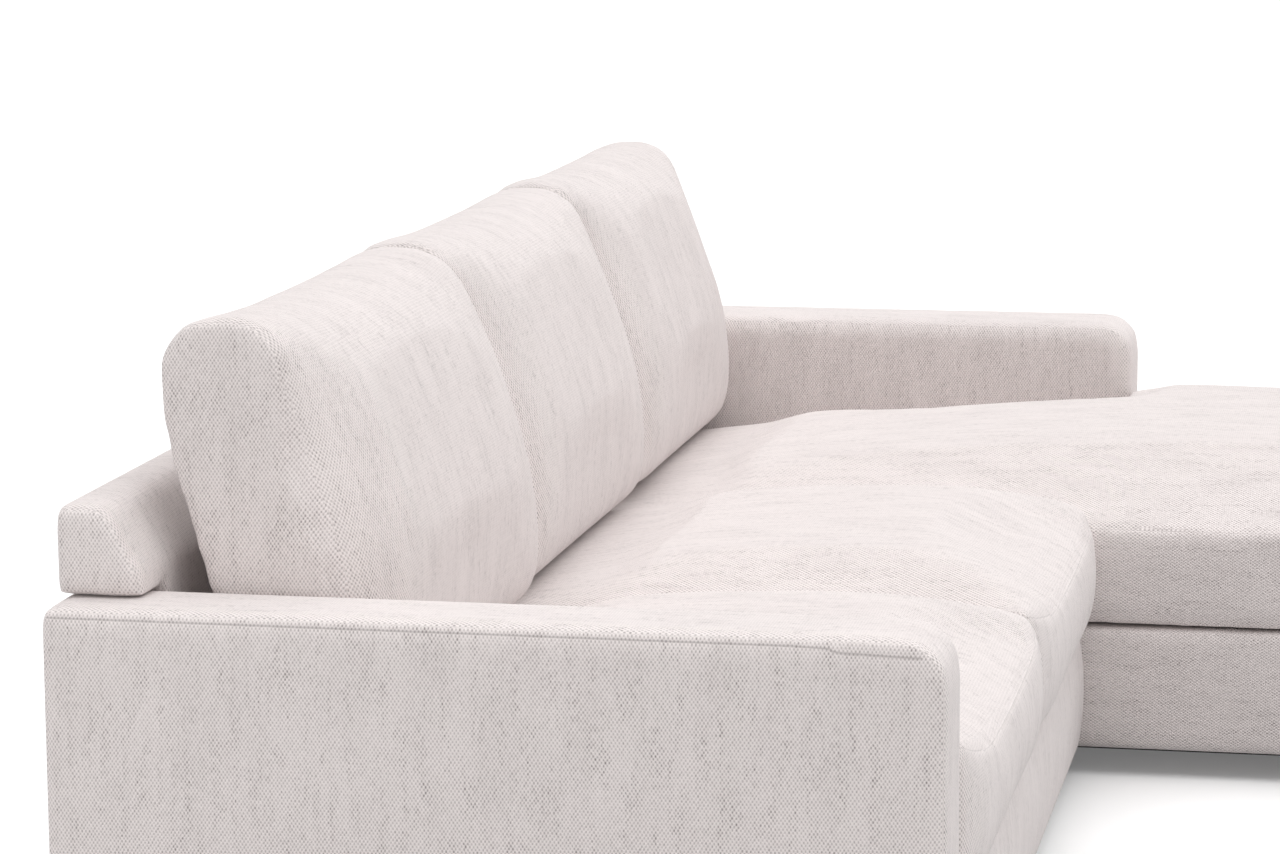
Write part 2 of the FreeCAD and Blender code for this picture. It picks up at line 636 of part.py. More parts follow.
EDGE = "(foot_inset)"
make_feet("seat_feet", (
    (f"{NEAR} + {EDGE}", f"{ARM_FRONT} + {EDGE}"),
    (f"{NEAR} + {EDGE}", f"{REAR} - {EDGE}"),
    (f"{JOIN} - {EDGE}", f"{ARM_FRONT} + {EDGE}"),
    (f"{JOIN} - {EDGE}", f"{BACK_FRONT} - {EDGE}"),
))
make_feet("chaise_feet", (
    (f"{JOIN} + {EDGE}", f"{CHAISE_BASE_FRONT} + {EDGE}"),
    (f"{FAR} - {EDGE}", f"{CHAISE_BASE_FRONT} + {EDGE}"),
    (f"{FAR} - {EDGE}", f"{REAR} - {EDGE}"),
    (f"{JOIN} + {EDGE}", f"{BACK_FRONT} - {EDGE}"),
))
make_plate("front_joining_plate", f"({SEAT_BASE_FRONT} + plate_inset)")
make_plate("rear_joining_plate", f"({BACK_FRONT} - plate_inset)")

SEAT_FRONT = "(arm_depth + cushion_overhang)"
CHAISE_FRONT = "(chaise_depth + cushion_overhang)"
SEAT_MIDDLE = f"(({NEAR_INNER} + {JOIN}) / 2)"
seat_cushion("near_seat_cushion", f"({NEAR_INNER} + cushion_gap)", f"({SEAT_MIDDLE} - cushion_gap / 2)",
             SEAT_FRONT, "seat_crown_thickness")
seat_cushion("middle_seat_cushion", f"({SEAT_MIDDLE} + cushion_gap / 2)", f"({JOIN} - cushion_gap / 2)",
             SEAT_FRONT, "seat_crown_thickness")
seat_cushion("chaise_cushion", f"({JOIN} + cushion_gap / 2)", FAR, CHAISE_FRONT, "chaise_crown_thickness",
             beside_arm=FAR_INNER)

THIRD = "((overall_width - 2 * arm_thickness - 4 * cushion_gap) / 3)"
for number, name in enumerate(("near_back_cushion", "middle_back_cushion", "far_back_cushion")):
    start = f"({NEAR_INNER} + cushion_gap + {number} * ({THIRD} + cushion_gap))"
    back_cushion(name, start, f"({start} + {THIRD})")

doc.recompute()
for thing in doc.Objects:
    if {"Invalid", "Error"} & set(thing.State):
        raise RuntimeError(f"{thing.Label} has failed: {thing.State}")
for part in PARTS:
    if part.Shape.isNull() or not part.Shape.isValid() or not part.Shape.Solids:
        raise RuntimeError(f"{part.Label} has no valid solid")

os.makedirs("parts", exist_ok=True)
for part in PARTS:
    part.Shape.exportStep(os.path.join("parts", f"{part.Label}.step"))
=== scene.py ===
import json
import math

import bmesh
import bpy
import numpy as np
from mathutils import Matrix, Vector, noise
from mathutils.kdtree import KDTree

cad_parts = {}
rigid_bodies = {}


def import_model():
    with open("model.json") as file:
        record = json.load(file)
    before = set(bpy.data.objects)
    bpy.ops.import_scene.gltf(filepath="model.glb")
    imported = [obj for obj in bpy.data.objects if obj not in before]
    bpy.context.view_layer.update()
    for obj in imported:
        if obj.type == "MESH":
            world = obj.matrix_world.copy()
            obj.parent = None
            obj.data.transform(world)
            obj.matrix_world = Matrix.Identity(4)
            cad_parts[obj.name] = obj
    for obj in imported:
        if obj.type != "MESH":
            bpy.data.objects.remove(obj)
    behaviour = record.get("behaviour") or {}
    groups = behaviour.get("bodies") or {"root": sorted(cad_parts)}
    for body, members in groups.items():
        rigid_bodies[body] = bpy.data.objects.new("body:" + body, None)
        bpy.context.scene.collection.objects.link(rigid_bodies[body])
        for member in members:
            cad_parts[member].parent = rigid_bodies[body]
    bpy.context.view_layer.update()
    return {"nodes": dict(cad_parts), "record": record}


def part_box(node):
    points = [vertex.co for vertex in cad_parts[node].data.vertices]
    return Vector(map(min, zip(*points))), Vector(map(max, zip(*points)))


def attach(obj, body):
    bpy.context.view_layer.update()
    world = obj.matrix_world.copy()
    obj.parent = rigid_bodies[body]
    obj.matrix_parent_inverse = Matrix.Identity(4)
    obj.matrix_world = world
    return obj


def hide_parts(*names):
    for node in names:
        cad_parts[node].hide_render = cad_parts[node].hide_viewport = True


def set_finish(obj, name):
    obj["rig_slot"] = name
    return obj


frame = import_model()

SCENE = bpy.context.scene
ROOT = "frame"

# Where things are, from the frame.
NEAR_ARM, FAR_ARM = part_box("near_arm_cover"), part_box("far_arm_cover")
REAR = NEAR_ARM[1].y
NEAR_INNER, FAR_INNER = NEAR_ARM[1].x, FAR_ARM[0].x
ARM_FRONT, ARM_TOP = NEAR_ARM[0].y, NEAR_ARM[1].z

# How the covers are made, in metres. The gaps keep them clear of arms, of each other, and of the arm's front.
GAP = 0.0005
SIDE_GAP = 0.0003
STEP_GAP = 0.0012
ARM_TOP_CORNER, ARM_INNER_EDGE, ARM_OUTER_EDGE = 0.044, 0.036, 0.012
ARM_SEAM_DROP = 0.012
ARM_SEAM_TURN = 0.16
ARM_SEAM_FALL = 0.06
ARM_PUFF = 0.009
BASE_PUFF = 0.008
BACK_SEAM_INSET = 0.007
BACK_TOP_EDGE = 0.014
SEAT_TOP_SEAM = 0.372
SEAT_LOW_SEAM = 0.233
BACK_ROLL = 0.075
BACK_PANEL_SEAM = 0.011
SEAT_CORNER = 0.016
LOBE_EDGE = 0.030
CORNER_LIFT = 0.066
INNER_CORNER_LIFT = 0.040
CHAISE_CORNER_LIFT = 0.018
SEAM_DEPTH = 0.0016
SEAM_WIDTH = 0.005
VOXEL = 0.011
CLOTH_FRAMES = 16
YARN = 0.0044

# How far the roll of a seat's top goes in from its near and far ends, in metres.
SEAT_REACHES = (0.15, 0.10)
CHAISE_REACHES = (0.32, 0.16)

# Back cushions: how far the far end's roll goes in, how much of the roll's depth each end takes, and how far
# the far end leans forward, in metres.
BACK_REACH = 0.13
BACK_CUSHIONS = {
    "near_back_cushion": (0.050, (1, 0.85), 0.017),
    "middle_back_cushion": (0.075, (1.4, 1), 0.005),
    "far_back_cushion": (BACK_REACH, (1.4, 1), 0.0),
}

# How the cloth swells: air pressure, slack, the largest move in metres, and rounds of averaging.
SEAT_SWELL = (3.0, 0.014, 0.018, 16)
BACK_SWELL = (1.5, 0.006, 0.012, 40)

# Colours of the weave and of the painted shade along its seams.
LIGHT_YARN = (0.880, 0.812, 0.798, 1)
DARK_YARN = (0.270, 0.235, 0.230, 1)
SEAM_SHADE = (0.30, 0.265, 0.26, 1)

# How bright the surroundings and the floor are. A wide soft light hangs overhead, and a low panel stands
# behind the near arm.
SKY = 0.49
FLOOR_UNSEEN, FLOOR_SEEN, FLOOR_LIFT = 0.59, 0.90, 0.14
SOFTBOX = 2.5
SOFTBOX_FROM = (0.13, -0.22, 0.967)
SOFTBOX_SPREAD = math.radians(90)
PANEL_POWER = 19
PANEL_AT = (-4.5, 2.2, 0.9)
PANEL_SIZE = (1.5, 0.8)
PANEL_AIM_HEIGHT = 0.4

# The photo's camera: its place in metres, then yaw, pitch down and roll in degrees, and millimetres.
CAMERA_AT = (-5.4132, -0.6768, 1.4743)
CAMERA_TURNS = (11.433, 9.309, -0.305)
CAMERA_LENS, CAMERA_SENSOR = 112.5, 36

# Profiles seen along X, as (y from the sofa's rear, z), in metres, from the rear foot up and forward.
SEAT_PROFILE = [
    (-0.1366, 0.232), (-0.1366, 0.300), (-0.1366, 0.352), (-0.145, 0.361), (-0.195, 0.3710), (-0.270, 0.386),
    (-0.352, 0.400), (-0.440, 0.413), (-0.545, 0.426), (-0.654, 0.434), (-0.760, 0.438), (-0.860, 0.436),
    (-0.936, 0.428), (-0.980, 0.418), (-1.003, 0.402), (-1.017, 0.380), (-1.021, 0.350), (-1.022, 0.300),
    (-1.020, 0.258), (-1.012, 0.236), (-0.998, 0.2265), (-0.950, 0.2258), (-0.600, 0.2258), (-0.200, 0.2258),
    (-0.145, 0.2262),
]
CHAISE_PROFILE = [
    (-0.1366, 0.232), (-0.1366, 0.300), (-0.1366, 0.352), (-0.145, 0.361), (-0.195, 0.3710), (-0.270, 0.386),
    (-0.352, 0.400), (-0.440, 0.412), (-0.540, 0.423), (-0.628, 0.432), (-0.728, 0.442), (-0.830, 0.451),
    (-0.960, 0.459), (-1.150, 0.462), (-1.350, 0.461), (-1.500, 0.456), (-1.590, 0.446), (-1.632, 0.428),
    (-1.652, 0.402), (-1.661, 0.365), (-1.662, 0.300), (-1.660, 0.258), (-1.652, 0.236), (-1.638, 0.2265),
    (-1.550, 0.2258), (-0.900, 0.2258), (-0.200, 0.2258), (-0.145, 0.2262),
]
BACK_PROFILE = [
    (-0.203, 0.3790), (-0.194, 0.400), (-0.177, 0.450), (-0.158, 0.515), (-0.140, 0.580), (-0.121, 0.647),
    (-0.104, 0.705), (-0.094, 0.762), (-0.092, 0.805), (-0.099, 0.836), (-0.118, 0.856), (-0.145, 0.8655),
    (-0.172, 0.868), (-0.198, 0.866), (-0.220, 0.859), (-0.241, 0.843), (-0.259, 0.816), (-0.275, 0.780),
    (-0.293, 0.736), (-0.310, 0.688), (-0.326, 0.640), (-0.339, 0.590), (-0.347, 0.540), (-0.351, 0.490),
    (-0.349, 0.455), (-0.338, 0.424), (-0.318, 0.4030), (-0.290, 0.3950), (-0.240, 0.3848),
]

# The low back's front face, as (distance from the sofa's rear, z): its top stands at the first depth.
LOW_BACK_TOP = 0.058
LOW_BACK_WAIST = (0.100, 0.594)
LOW_BACK_ON_ARM = 0.101
LOW_BACK_FOOT = (0.134, 0.225)


def sampled(points, step):
    """A closed curve through the points, sampled about every step."""
    out = []
    count = len(points)
    for i in range(count):
        p0, p1, p2, p3 = (Vector(points[(i + k) % count]) for k in (-1, 0, 1, 2))
        pieces = max(1, int(round((p2 - p1).length / step)))
        for n in range(pieces):
            t = n / pieces
            out.append(0.5 * (2 * p1 + (p2 - p0) * t + (2 * p0 - 5 * p1 + 4 * p2 - p3) * t * t
                              + (3 * p1 - p0 - 3 * p2 + p3) * t ** 3))
    return out


def new_object(name, mesh):
    obj = bpy.data.objects.new(name, mesh)
    SCENE.collection.objects.link(obj)
    return obj


def prism(bm, outline, x0, x1):
    """Adds a closed prism along X over an outline of (y, z) points, and returns its end edges."""
    ends = [[bm.verts.new((x, p[0], p[1])) for p in outline] for x in (x0, x1)]
    count = len(outline)
    bm.faces.new(ends[0])
    bm.faces.new(ends[1][::-1])
    for i in range(count):
        j = (i + 1) % count
        bm.faces.new((ends[0][j], ends[0][i], ends[1][i], ends[1][j]))
    bm.normal_update()
    return [bm.edges.get((e[i], e[(i + 1) % count])) for e in ends for i in range(count)]


def inward_normals(outline):
    """Unit normals that point into a closed outline of (y, z) points."""
    count = len(outline)
    area = sum(outline[i][0] * outline[(i + 1) % count][1] - outline[(i + 1) % count][0] * outline[i][1]
               for i in range(count))
    turn = 1 if area > 0 else -1
    normals = []
    for i in range(count):
        along = Vector(outline[(i + 1) % count]) - Vector(outline[i - 1])
        normals.append(Vector((-along.y, along.x)).normalized() * turn)
    return normals


def round_roll(away):
    """How far a rolled end has gone in, from 1 at the end to 0 where away is 1, along a quarter circle."""
    return 1 - math.sqrt(max(0.0, 1 - (1 - away) ** 2))


def crowned_roll(away):
    """The same for a crowned top, which leaves its seam at a slope."""
    return (1 - away) ** 2.1


def loft(bm, outline, depth, reaches, x0, x1, roll, steps=9, shares=(1, 1)):
    """Adds a closed form along X whose ends are rolled: each outline point moves in by its own depth.
    reaches says how far the roll goes in from each end, and shares how much of the depth each end takes."""
    normals = inward_normals(outline)
    depths = [depth(p, n) for p, n in zip(outline, normals)]
    rolled = [1 - math.cos(math.pi / 2 * k / steps) for k in range(steps + 1)]
    stations = [(x0 + reaches[0] * t, roll(t) * shares[0]) for t in rolled]
    stations += [(x1 - reaches[1] * t, roll(t) * shares[1]) for t in reversed(rolled)]
    rings = []
    for x, share in stations:
        rings.append([bm.verts.new((x, p[0] + n.x * d * share, p[1] + n.y * d * share))
                      for p, n, d in zip(outline, normals, depths)])
    count = len(outline)
    for a, b in zip(rings, rings[1:]):
        for i in range(count):
            j = (i + 1) % count
            bm.faces.new((a[j], a[i], b[i], b[j]))
    bm.faces.new(rings[0])
    bm.faces.new(rings[-1][::-1])
    bm.normal_update()


def bevel(bm, edges, width, segments=5):
    bmesh.ops.bevel(bm, geom=edges, offset=width, offset_type="OFFSET", segments=segments, profile=0.5,
                    affect="EDGES", clamp_overlap=True)
    bm.normal_update()


def box_between(bm, low, high):
    outline = [(low[1], low[2]), (low[1], high[2]), (high[1], high[2]), (high[1], low[2])]
    prism(bm, outline, low[0], high[0])


def edges_where(bm, chosen):
    """Edges for which chosen(middle, direction) is true."""
    found = []
    for e in bm.edges:
        a, b = e.verts[0].co, e.verts[1].co
        if chosen((a + b) / 2, (b - a).normalized()):
            found.append(e)
    return found


def even_mesh(name, bm, voxel, smoothing=3):
    """Turns a rough closed form into an evenly meshed one, ready to be seamed and puffed."""
    bmesh.ops.recalc_face_normals(bm, faces=bm.faces[:])
    rough = bpy.data.meshes.new(name + "_rough")
    bm.to_mesh(rough)
    bm.free()
    holder = new_object(name + "_rough", rough)
    remesh = holder.modifiers.new("even", "REMESH")
    remesh.mode = "VOXEL"
    remesh.voxel_size = voxel
    mesh = bpy.data.meshes.new_from_object(holder.evaluated_get(bpy.context.evaluated_depsgraph_get()))
    bpy.data.objects.remove(holder)
    mesh.name = name
    even = bmesh.new()
    even.from_mesh(mesh)
    for _ in range(smoothing):
        bmesh.ops.smooth_vert(even, verts=even.verts[:], factor=0.5, use_axis_x=True, use_axis_y=True,
                              use_axis_z=True)
    even.verts.layers.float.new("seam")
    even.to_mesh(mesh)
    even.free()
    for polygon in mesh.polygons:
        polygon.use_smooth = True
    return new_object(name, mesh)


def cut_seam(obj, point, normal, inside=lambda p: True, strength=0.72):
    """Cuts an edge loop where a plane crosses the mesh, where inside(point) holds, and marks it as a seam;
    strength also sets how much painted shade the shader lays along it.
    """
    bm = bmesh.new()
    bm.from_mesh(obj.data)
    layer = bm.verts.layers.float["seam"]
    faces = [f for f in bm.faces if inside(f.calc_center_median())]
    edges = {e for f in faces for e in f.edges}
    verts = {v for f in faces for v in f.verts}
    cut = bmesh.ops.bisect_plane(bm, geom=list(verts) + list(edges) + faces, dist=1e-5,
                                 plane_co=point, plane_no=normal)["geom_cut"]
    for v in cut:
        if isinstance(v, bmesh.types.BMVert):
            v[layer] = strength
    bm.to_mesh(obj.data)
    bm.free()


def arrays(mesh):
    co = np.empty(len(mesh.vertices) * 3)
    mesh.vertices.foreach_get("co", co)
    no = np.empty(len(mesh.vertices) * 3)
    mesh.vertices.foreach_get("normal", no)
    return co.reshape(-1, 3), no.reshape(-1, 3)


def put(mesh, co):
    mesh.vertices.foreach_set("co", np.ascontiguousarray(co).ravel())
    mesh.update()


def seam_marks(mesh):
    marks = np.empty(len(mesh.vertices), np.float32)
    mesh.attributes["seam"].data.foreach_get("value", marks)
    return marks


def ripple(points, scale, seed):
    """Smooth noise from -1 to 1 at each point."""
    shift = Vector((seed * 7.3, seed * 3.1, seed * 5.7))
    return np.array([noise.noise(Vector(p) * scale + shift) for p in points])


def gather_seams(obj, seed, depth=SEAM_DEPTH, pucker=0.0012, reach=0.022):
    """Pulls the cover in along its seams, with short puckers that die away beside them."""
    mesh = obj.data
    co, no = arrays(mesh)
    marks = seam_marks(mesh)
    sewn = np.nonzero(marks > 0.5)[0]
    if not len(sewn):
        return
    tree = KDTree(len(sewn))
    for n, i in enumerate(sewn):
        tree.insert(co[i], n)
    tree.balance()
    away = np.array([tree.find(p)[2] for p in co])
    close = np.nonzero(away < 3 * reach)[0]
    puckers = np.zeros(len(co))
    puckers[close] = ripple(co[close], 34, seed)
    inward = depth * np.exp(-(away / SEAM_WIDTH) ** 2) + pucker * puckers * np.exp(-away / reach)
    put(mesh, co - no * inward[:, None])


def subdivided(obj):
    step = obj.modifiers.new("finer", "SUBSURF")
    step.levels = step.render_levels = 1
    mesh = bpy.data.meshes.new_from_object(obj.evaluated_get(bpy.context.evaluated_depsgraph_get()))
    obj.modifiers.clear()
    mesh.name = obj.name
    obj.data = mesh
    for polygon in mesh.polygons:
        polygon.use_smooth = True


def spread_evenly(mesh, move, rounds):
    """Averages the moves of neighbouring vertices, so that the stuffing carries the cover in one sweep."""
    edges = np.empty(len(mesh.edges) * 2, np.int64)
    mesh.edges.foreach_get("vertices", edges)
    a, b = edges[::2], edges[1::2]
    count = np.bincount(edges, minlength=len(move))[:, None]
    for _ in range(rounds):
        total = np.zeros_like(move)
        for axis in range(3):
            total[:, axis] += np.bincount(a, move[b, axis], len(move))
            total[:, axis] += np.bincount(b, move[a, axis], len(move))
        move = 0.5 * move + 0.5 * total / np.maximum(count, 1)
    return move


def simulate(obj, held, pressure, slack, cap, rounds):
    """Swells the cover with cloth. held gives each vertex's hold, from 0, free, to 1, fixed."""
    mesh = obj.data
    start, _ = arrays(mesh)
    group = obj.vertex_groups.new(name="held")
    for level in np.unique(held):
        group.add(np.nonzero(held == level)[0].tolist(), float(level), "REPLACE")
    cloth = obj.modifiers.new("cloth", "CLOTH")
    settings = cloth.settings
    settings.quality = 6
    settings.mass = 0.3
    settings.tension_stiffness = settings.compression_stiffness = 12
    settings.shear_stiffness = 5
    settings.bending_stiffness = 0.6
    settings.vertex_group_mass = "held"
    settings.use_pressure = True
    settings.uniform_pressure_force = pressure
    settings.shrink_min = -slack
    settings.effector_weights.gravity = 0
    cloth.collision_settings.use_collision = False
    cloth.collision_settings.use_self_collision = False
    cloth.point_cache.frame_start, cloth.point_cache.frame_end = 1, CLOTH_FRAMES
    for number in range(1, CLOTH_FRAMES + 1):
        SCENE.frame_set(number)
    puffed = bpy.data.meshes.new_from_object(obj.evaluated_get(bpy.context.evaluated_depsgraph_get()))
    end, _ = arrays(puffed)
    bpy.data.meshes.remove(puffed)
    obj.modifiers.clear()
    obj.vertex_groups.clear()
    SCENE.frame_set(1)
    move = spread_evenly(mesh, end - start, rounds)
    length = np.linalg.norm(move, axis=1, keepdims=True)
    put(mesh, start + move * np.minimum(1, cap / np.maximum(length, 1e-9)))


def keep_in(obj, low, high):
    """Presses the piece flat against the planes of what stands beside it."""
    co, _ = arrays(obj.data)
    put(obj.data, np.clip(co, low, high))


def arm(side):
    """An arm's cover: a strip over the top and front, sewn to a flat outer panel."""
    low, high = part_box(f"{side}_arm_cover")
    outward = -1 if side == "near" else 1
    outer_x, inner_x = (low.x, high.x) if outward < 0 else (high.x, low.x)
    bm = bmesh.new()
    box_between(bm, low, high)
    bevel(bm, edges_where(bm, lambda m, d: abs(d.x) > 0.9 and m.z > high.z - 0.01 and m.y < low.y + 0.01),
          ARM_TOP_CORNER, 8)
    chain = edges_where(bm, lambda m, d: abs(m.x - inner_x) < 1e-4 and (m.z > high.z - 0.05
                                                                      or m.y < low.y + 0.001)
                        and m.y < high.y - 0.001 and m.z > low.z + 0.001)
    bevel(bm, chain, ARM_INNER_EDGE, 6)
    chain = edges_where(bm, lambda m, d: abs(m.x - outer_x) < 1e-4 and m.y < high.y - 0.001
                        and m.z > low.z + 0.001 and (m.z > high.z - 0.05 or m.y < low.y + 0.001))
    bevel(bm, chain, ARM_OUTER_EDGE, 4)
    obj = even_mesh(f"{side}_arm_upholstery", bm, VOXEL)
    near_face = lambda p: abs(p.x - outer_x) < 0.008
    top, turn = high.z - ARM_SEAM_DROP, low.y + ARM_SEAM_TURN
    cut_seam(obj, (0, 0, top), (0, 0, 1), lambda p: near_face(p) and p.y > turn, 1)
    front = lambda p: near_face(p) and low.y + 0.024 < p.y < turn and p.z > top - 0.03
    cut_seam(obj, (0, turn, top), (0, -ARM_SEAM_FALL, 1), front, 1)
    co, _ = arrays(obj.data)
    share = np.clip(1 - (co[:, 1] - low.y) / 0.10, 0, 1)
    co[:, 1] -= ARM_PUFF * share * np.clip((high.z - co[:, 2]) / 0.06, 0, 1) ** 0.5
    put(obj.data, co)
    return obj


def finished(obj, seed, body, replaced, depth=SEAM_DEPTH, pucker=0.0012):
    gather_seams(obj, seed, depth, pucker)
    subdivided(obj)
    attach(obj, body)
    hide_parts(replaced)
    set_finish(obj, "upholstery")
    return obj


def back(section, seed):
    """The low back's cover, one end standing on the arm."""
    low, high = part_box(f"{section}_back_cover")
    on_arm = ARM_TOP + GAP
    full = [(REAR - d, z) for d, z in ((0, low.z), (0, high.z), (LOW_BACK_TOP, high.z), LOW_BACK_WAIST,
                                        LOW_BACK_FOOT, (LOW_BACK_FOOT[0], low.z))]
    inner = NEAR_INNER if section == "seat" else FAR_INNER
    x0, x1 = (inner + GAP, high.x) if section == "seat" else (low.x, inner - GAP)
    bm = bmesh.new()
    prism(bm, full, x0, x1)
    upper = [(REAR, on_arm), (REAR, high.z), (REAR - LOW_BACK_TOP, high.z),
             (REAR - LOW_BACK_WAIST[0], LOW_BACK_WAIST[1]), (REAR - LOW_BACK_ON_ARM, on_arm)]
    prism(bm, upper, low.x, high.x)
    long_top = edges_where(bm, lambda m, d: abs(d.x) > 0.9 and m.z > high.z - 0.01)
    bevel(bm, long_top, BACK_TOP_EDGE, 4)
    obj = even_mesh(f"{section}_back_upholstery", bm, VOXEL * 0.8, 2)
    for x, side in ((low.x, 1), (high.x, -1)):
        cut_seam(obj, (x + side * BACK_SEAM_INSET, 0, 0), (1, 0, 0))
    return finished(obj, seed, ROOT, f"{section}_back_cover")


def base(section, seed):
    """A base's cover: flat sides pulled over the rails."""
    low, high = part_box(f"{section}_base_cover")
    bm = bmesh.new()
    if section == "seat":
        box_between(bm, low, high)
    else:
        box_between(bm, low, (FAR_INNER - GAP, high.y, high.z))
        box_between(bm, low, (high.x, ARM_FRONT - GAP, high.z))
    obj = even_mesh(f"{section}_base_upholstery", bm, VOXEL, 2)
    co, no = arrays(obj.data)
    share = np.sin(np.pi * np.clip((co[:, 2] - low.z) / (high.z - low.z), 0, 1))
    co[:, 1] -= BASE_PUFF * share * np.clip(-no[:, 1], 0, 1)
    put(obj.data, co)
    return finished(obj, seed, ROOT, f"{section}_base_cover")


def seat_roll(point, inward):
    """How far in a seat cushion's ends are rolled: on top, down to the seam, and a little in front."""
    down, behind = max(0.0, -inward.y), max(0.0, inward.x)
    return 0.003 + down ** 2 * max(0.0, point[1] - SEAT_TOP_SEAM) + SEAT_CORNER * behind ** 2


def make_seats():
    """The two seat cushions: a crowned top and a flat bottom, sewn to a strip round the sides."""
    lifts = {"near_seat_cushion": (CORNER_LIFT, INNER_CORNER_LIFT),
             "middle_seat_cushion": (INNER_CORNER_LIFT, INNER_CORNER_LIFT)}
    for seed, name in enumerate(lifts):
        low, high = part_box(f"{name}_cover")
        outline = [(REAR + y, z) for y, z in sampled(SEAT_PROFILE, 0.02)]
        bm = bmesh.new()
        loft(bm, outline, seat_roll, SEAT_REACHES, low.x + 0.001, high.x - 0.001, crowned_roll)
        finish_seat(even_mesh(f"{name}_upholstery", bm, VOXEL), name, seed, low, high, lifts[name])


def raise_corners(obj, ends, lifts, front):
    """Lifts the cover at its two front corners, each by its own lift, so that the seam hangs between them."""
    co, _ = arrays(obj.data)
    lift = np.sum([tall * np.exp(-np.abs(co[:, 0] - x) / 0.09) for x, tall in zip(ends, lifts)], axis=0)
    lift *= np.exp(-np.maximum(0, co[:, 1] - front) / 0.08)
    co[:, 2] += lift * np.clip((co[:, 2] - 0.30) / 0.07, 0, 1)
    put(obj.data, co)


def finish_seat(obj, name, seed, low, high, lifts):
    """Seams a seat's cover above and below its sides, swells it and sets it between its neighbours."""
    cut_seam(obj, (0, 0, SEAT_TOP_SEAM), (0, 0, 1), lambda p: p.y < REAR - 0.20, 0.80)
    cut_seam(obj, (0, 0, SEAT_LOW_SEAM), (0, 0, 1))
    raise_corners(obj, (low.x, high.x), lifts, low.y)
    co, _ = arrays(obj.data)
    held = np.where(co[:, 2] < SEAT_LOW_SEAM + 0.004, 1.0, 0.0)
    behind = np.clip((co[:, 1] - (REAR - 0.46)) / 0.10, 0, 1)
    held = np.maximum(held, np.round(behind, 1))
    held = np.maximum(held, np.where(seam_marks(obj.data) > 0.5, 0.6, 0))
    simulate(obj, held, *SEAT_SWELL)
    keep_in(obj, (low.x + SIDE_GAP, low.y - 0.008, low.z), (high.x - SIDE_GAP, high.y, 1))
    finished(obj, 11 + seed, name, f"{name}_cover", SEAM_DEPTH, 0.0018)


def make_chaise_cushion():
    name = "chaise_cushion"
    low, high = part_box(f"{name}_cover")
    outline = [(REAR + y, z) for y, z in sampled(CHAISE_PROFILE, 0.02)]
    step_y = ARM_FRONT - STEP_GAP
    bm = bmesh.new()
    loft(bm, outline, seat_roll, CHAISE_REACHES, low.x + 0.001, FAR_INNER - STEP_GAP, crowned_roll)
    lobe = bmesh.new()
    loft(lobe, outline, seat_roll, CHAISE_REACHES, low.x + 0.001, high.x, crowned_roll)
    everything = lobe.verts[:] + lobe.edges[:] + lobe.faces[:]
    cut = bmesh.ops.bisect_plane(lobe, geom=everything, dist=1e-5, plane_co=(0, step_y, 0),
                                 plane_no=(0, 1, 0), clear_outer=True)["geom_cut"]
    rim = [e for e in cut if isinstance(e, bmesh.types.BMEdge)]
    bmesh.ops.holes_fill(lobe, edges=rim, sides=0)
    bevel(lobe, [e for e in rim if e.is_valid and e.verts[0].co.z > 0.37], LOBE_EDGE, 5)
    joined = bpy.data.meshes.new("lobe")
    lobe.to_mesh(joined)
    lobe.free()
    bm.from_mesh(joined)
    bpy.data.meshes.remove(joined)
    obj = even_mesh(f"{name}_upholstery", bm, VOXEL)
    finish_seat(obj, name, 2, low, high, (CHAISE_CORNER_LIFT, CHAISE_CORNER_LIFT))


def back_roll(point, inward):
    """How far in a back cushion's ends are rolled: most in front, less at its brow, and hardly behind."""
    behind, down = max(0.0, inward.x), max(0.0, -inward.y)
    low_down = min(1.0, max(0.3, (point[1] - 0.38) / 0.08))
    brow = min(1.0, max(0.25, (0.87 - point[1]) / 0.13))
    return 0.004 + BACK_ROLL * behind ** 1.5 * low_down * brow + 0.008 * down ** 2


def make_back_cushion(name, seed, far_reach, shares, lean):
    """A back cushion: a band round the profile between two end panels, with upper corners that stand up and a
    far end that leans forward."""
    low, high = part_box(f"{name}_cover")
    outline = [(REAR + y, z) for y, z in sampled(BACK_PROFILE, 0.02)]
    bm = bmesh.new()
    reaches = BACK_REACH, far_reach
    loft(bm, outline, back_roll, reaches, low.x + 0.003, high.x - 0.003, round_roll, 12, shares)
    obj = even_mesh(f"{name}_upholstery", bm, VOXEL * 0.9)
    # The panel seams at the rear and top get a stronger mark, so more painted shade, than the rest.
    for x in (low.x + BACK_PANEL_SEAM, high.x - BACK_PANEL_SEAM):
        cut_seam(obj, (x, 0, 0), (1, 0, 0), lambda p: p.y > REAR - 0.22 and p.z > 0.6, 0.85)
        cut_seam(obj, (x, 0, 0), (1, 0, 0), lambda p: p.y <= REAR - 0.22 or p.z <= 0.6, 0.64)
    co, no = arrays(obj.data)
    to_near, to_far = co[:, 0] - low.x, high.x - co[:, 0]
    up = np.clip((co[:, 2] - 0.72) / 0.14, 0, 1) ** 2
    co[:, 2] += up * (0.020 * np.exp(-to_near / 0.08) + 0.007 * np.exp(-to_far / 0.08) - 0.004)
    co[:, 1] -= lean * to_near / (high.x - low.x) * np.clip((REAR - 0.17 - co[:, 1]) / 0.12, 0, 1)
    put(obj.data, co)
    held = np.where((co[:, 2] < 0.42) & (no[:, 2] < -0.3), 1.0, 0.0)
    held = np.where(no[:, 1] > 0.5, 0.9, held)
    hold_in = 0.9 * np.clip(1.35 - np.minimum(to_near / 0.10, to_far / 0.06), 0, 1)
    held = np.maximum(held, np.round(hold_in, 1))
    simulate(obj, held, *BACK_SWELL)
    keep_in(obj, (low.x + SIDE_GAP, low.y - 0.03, 0), (high.x - SIDE_GAP, high.y, 1))
    finished(obj, 21 + seed, name, f"{name}_cover", SEAM_DEPTH, 0.0018)


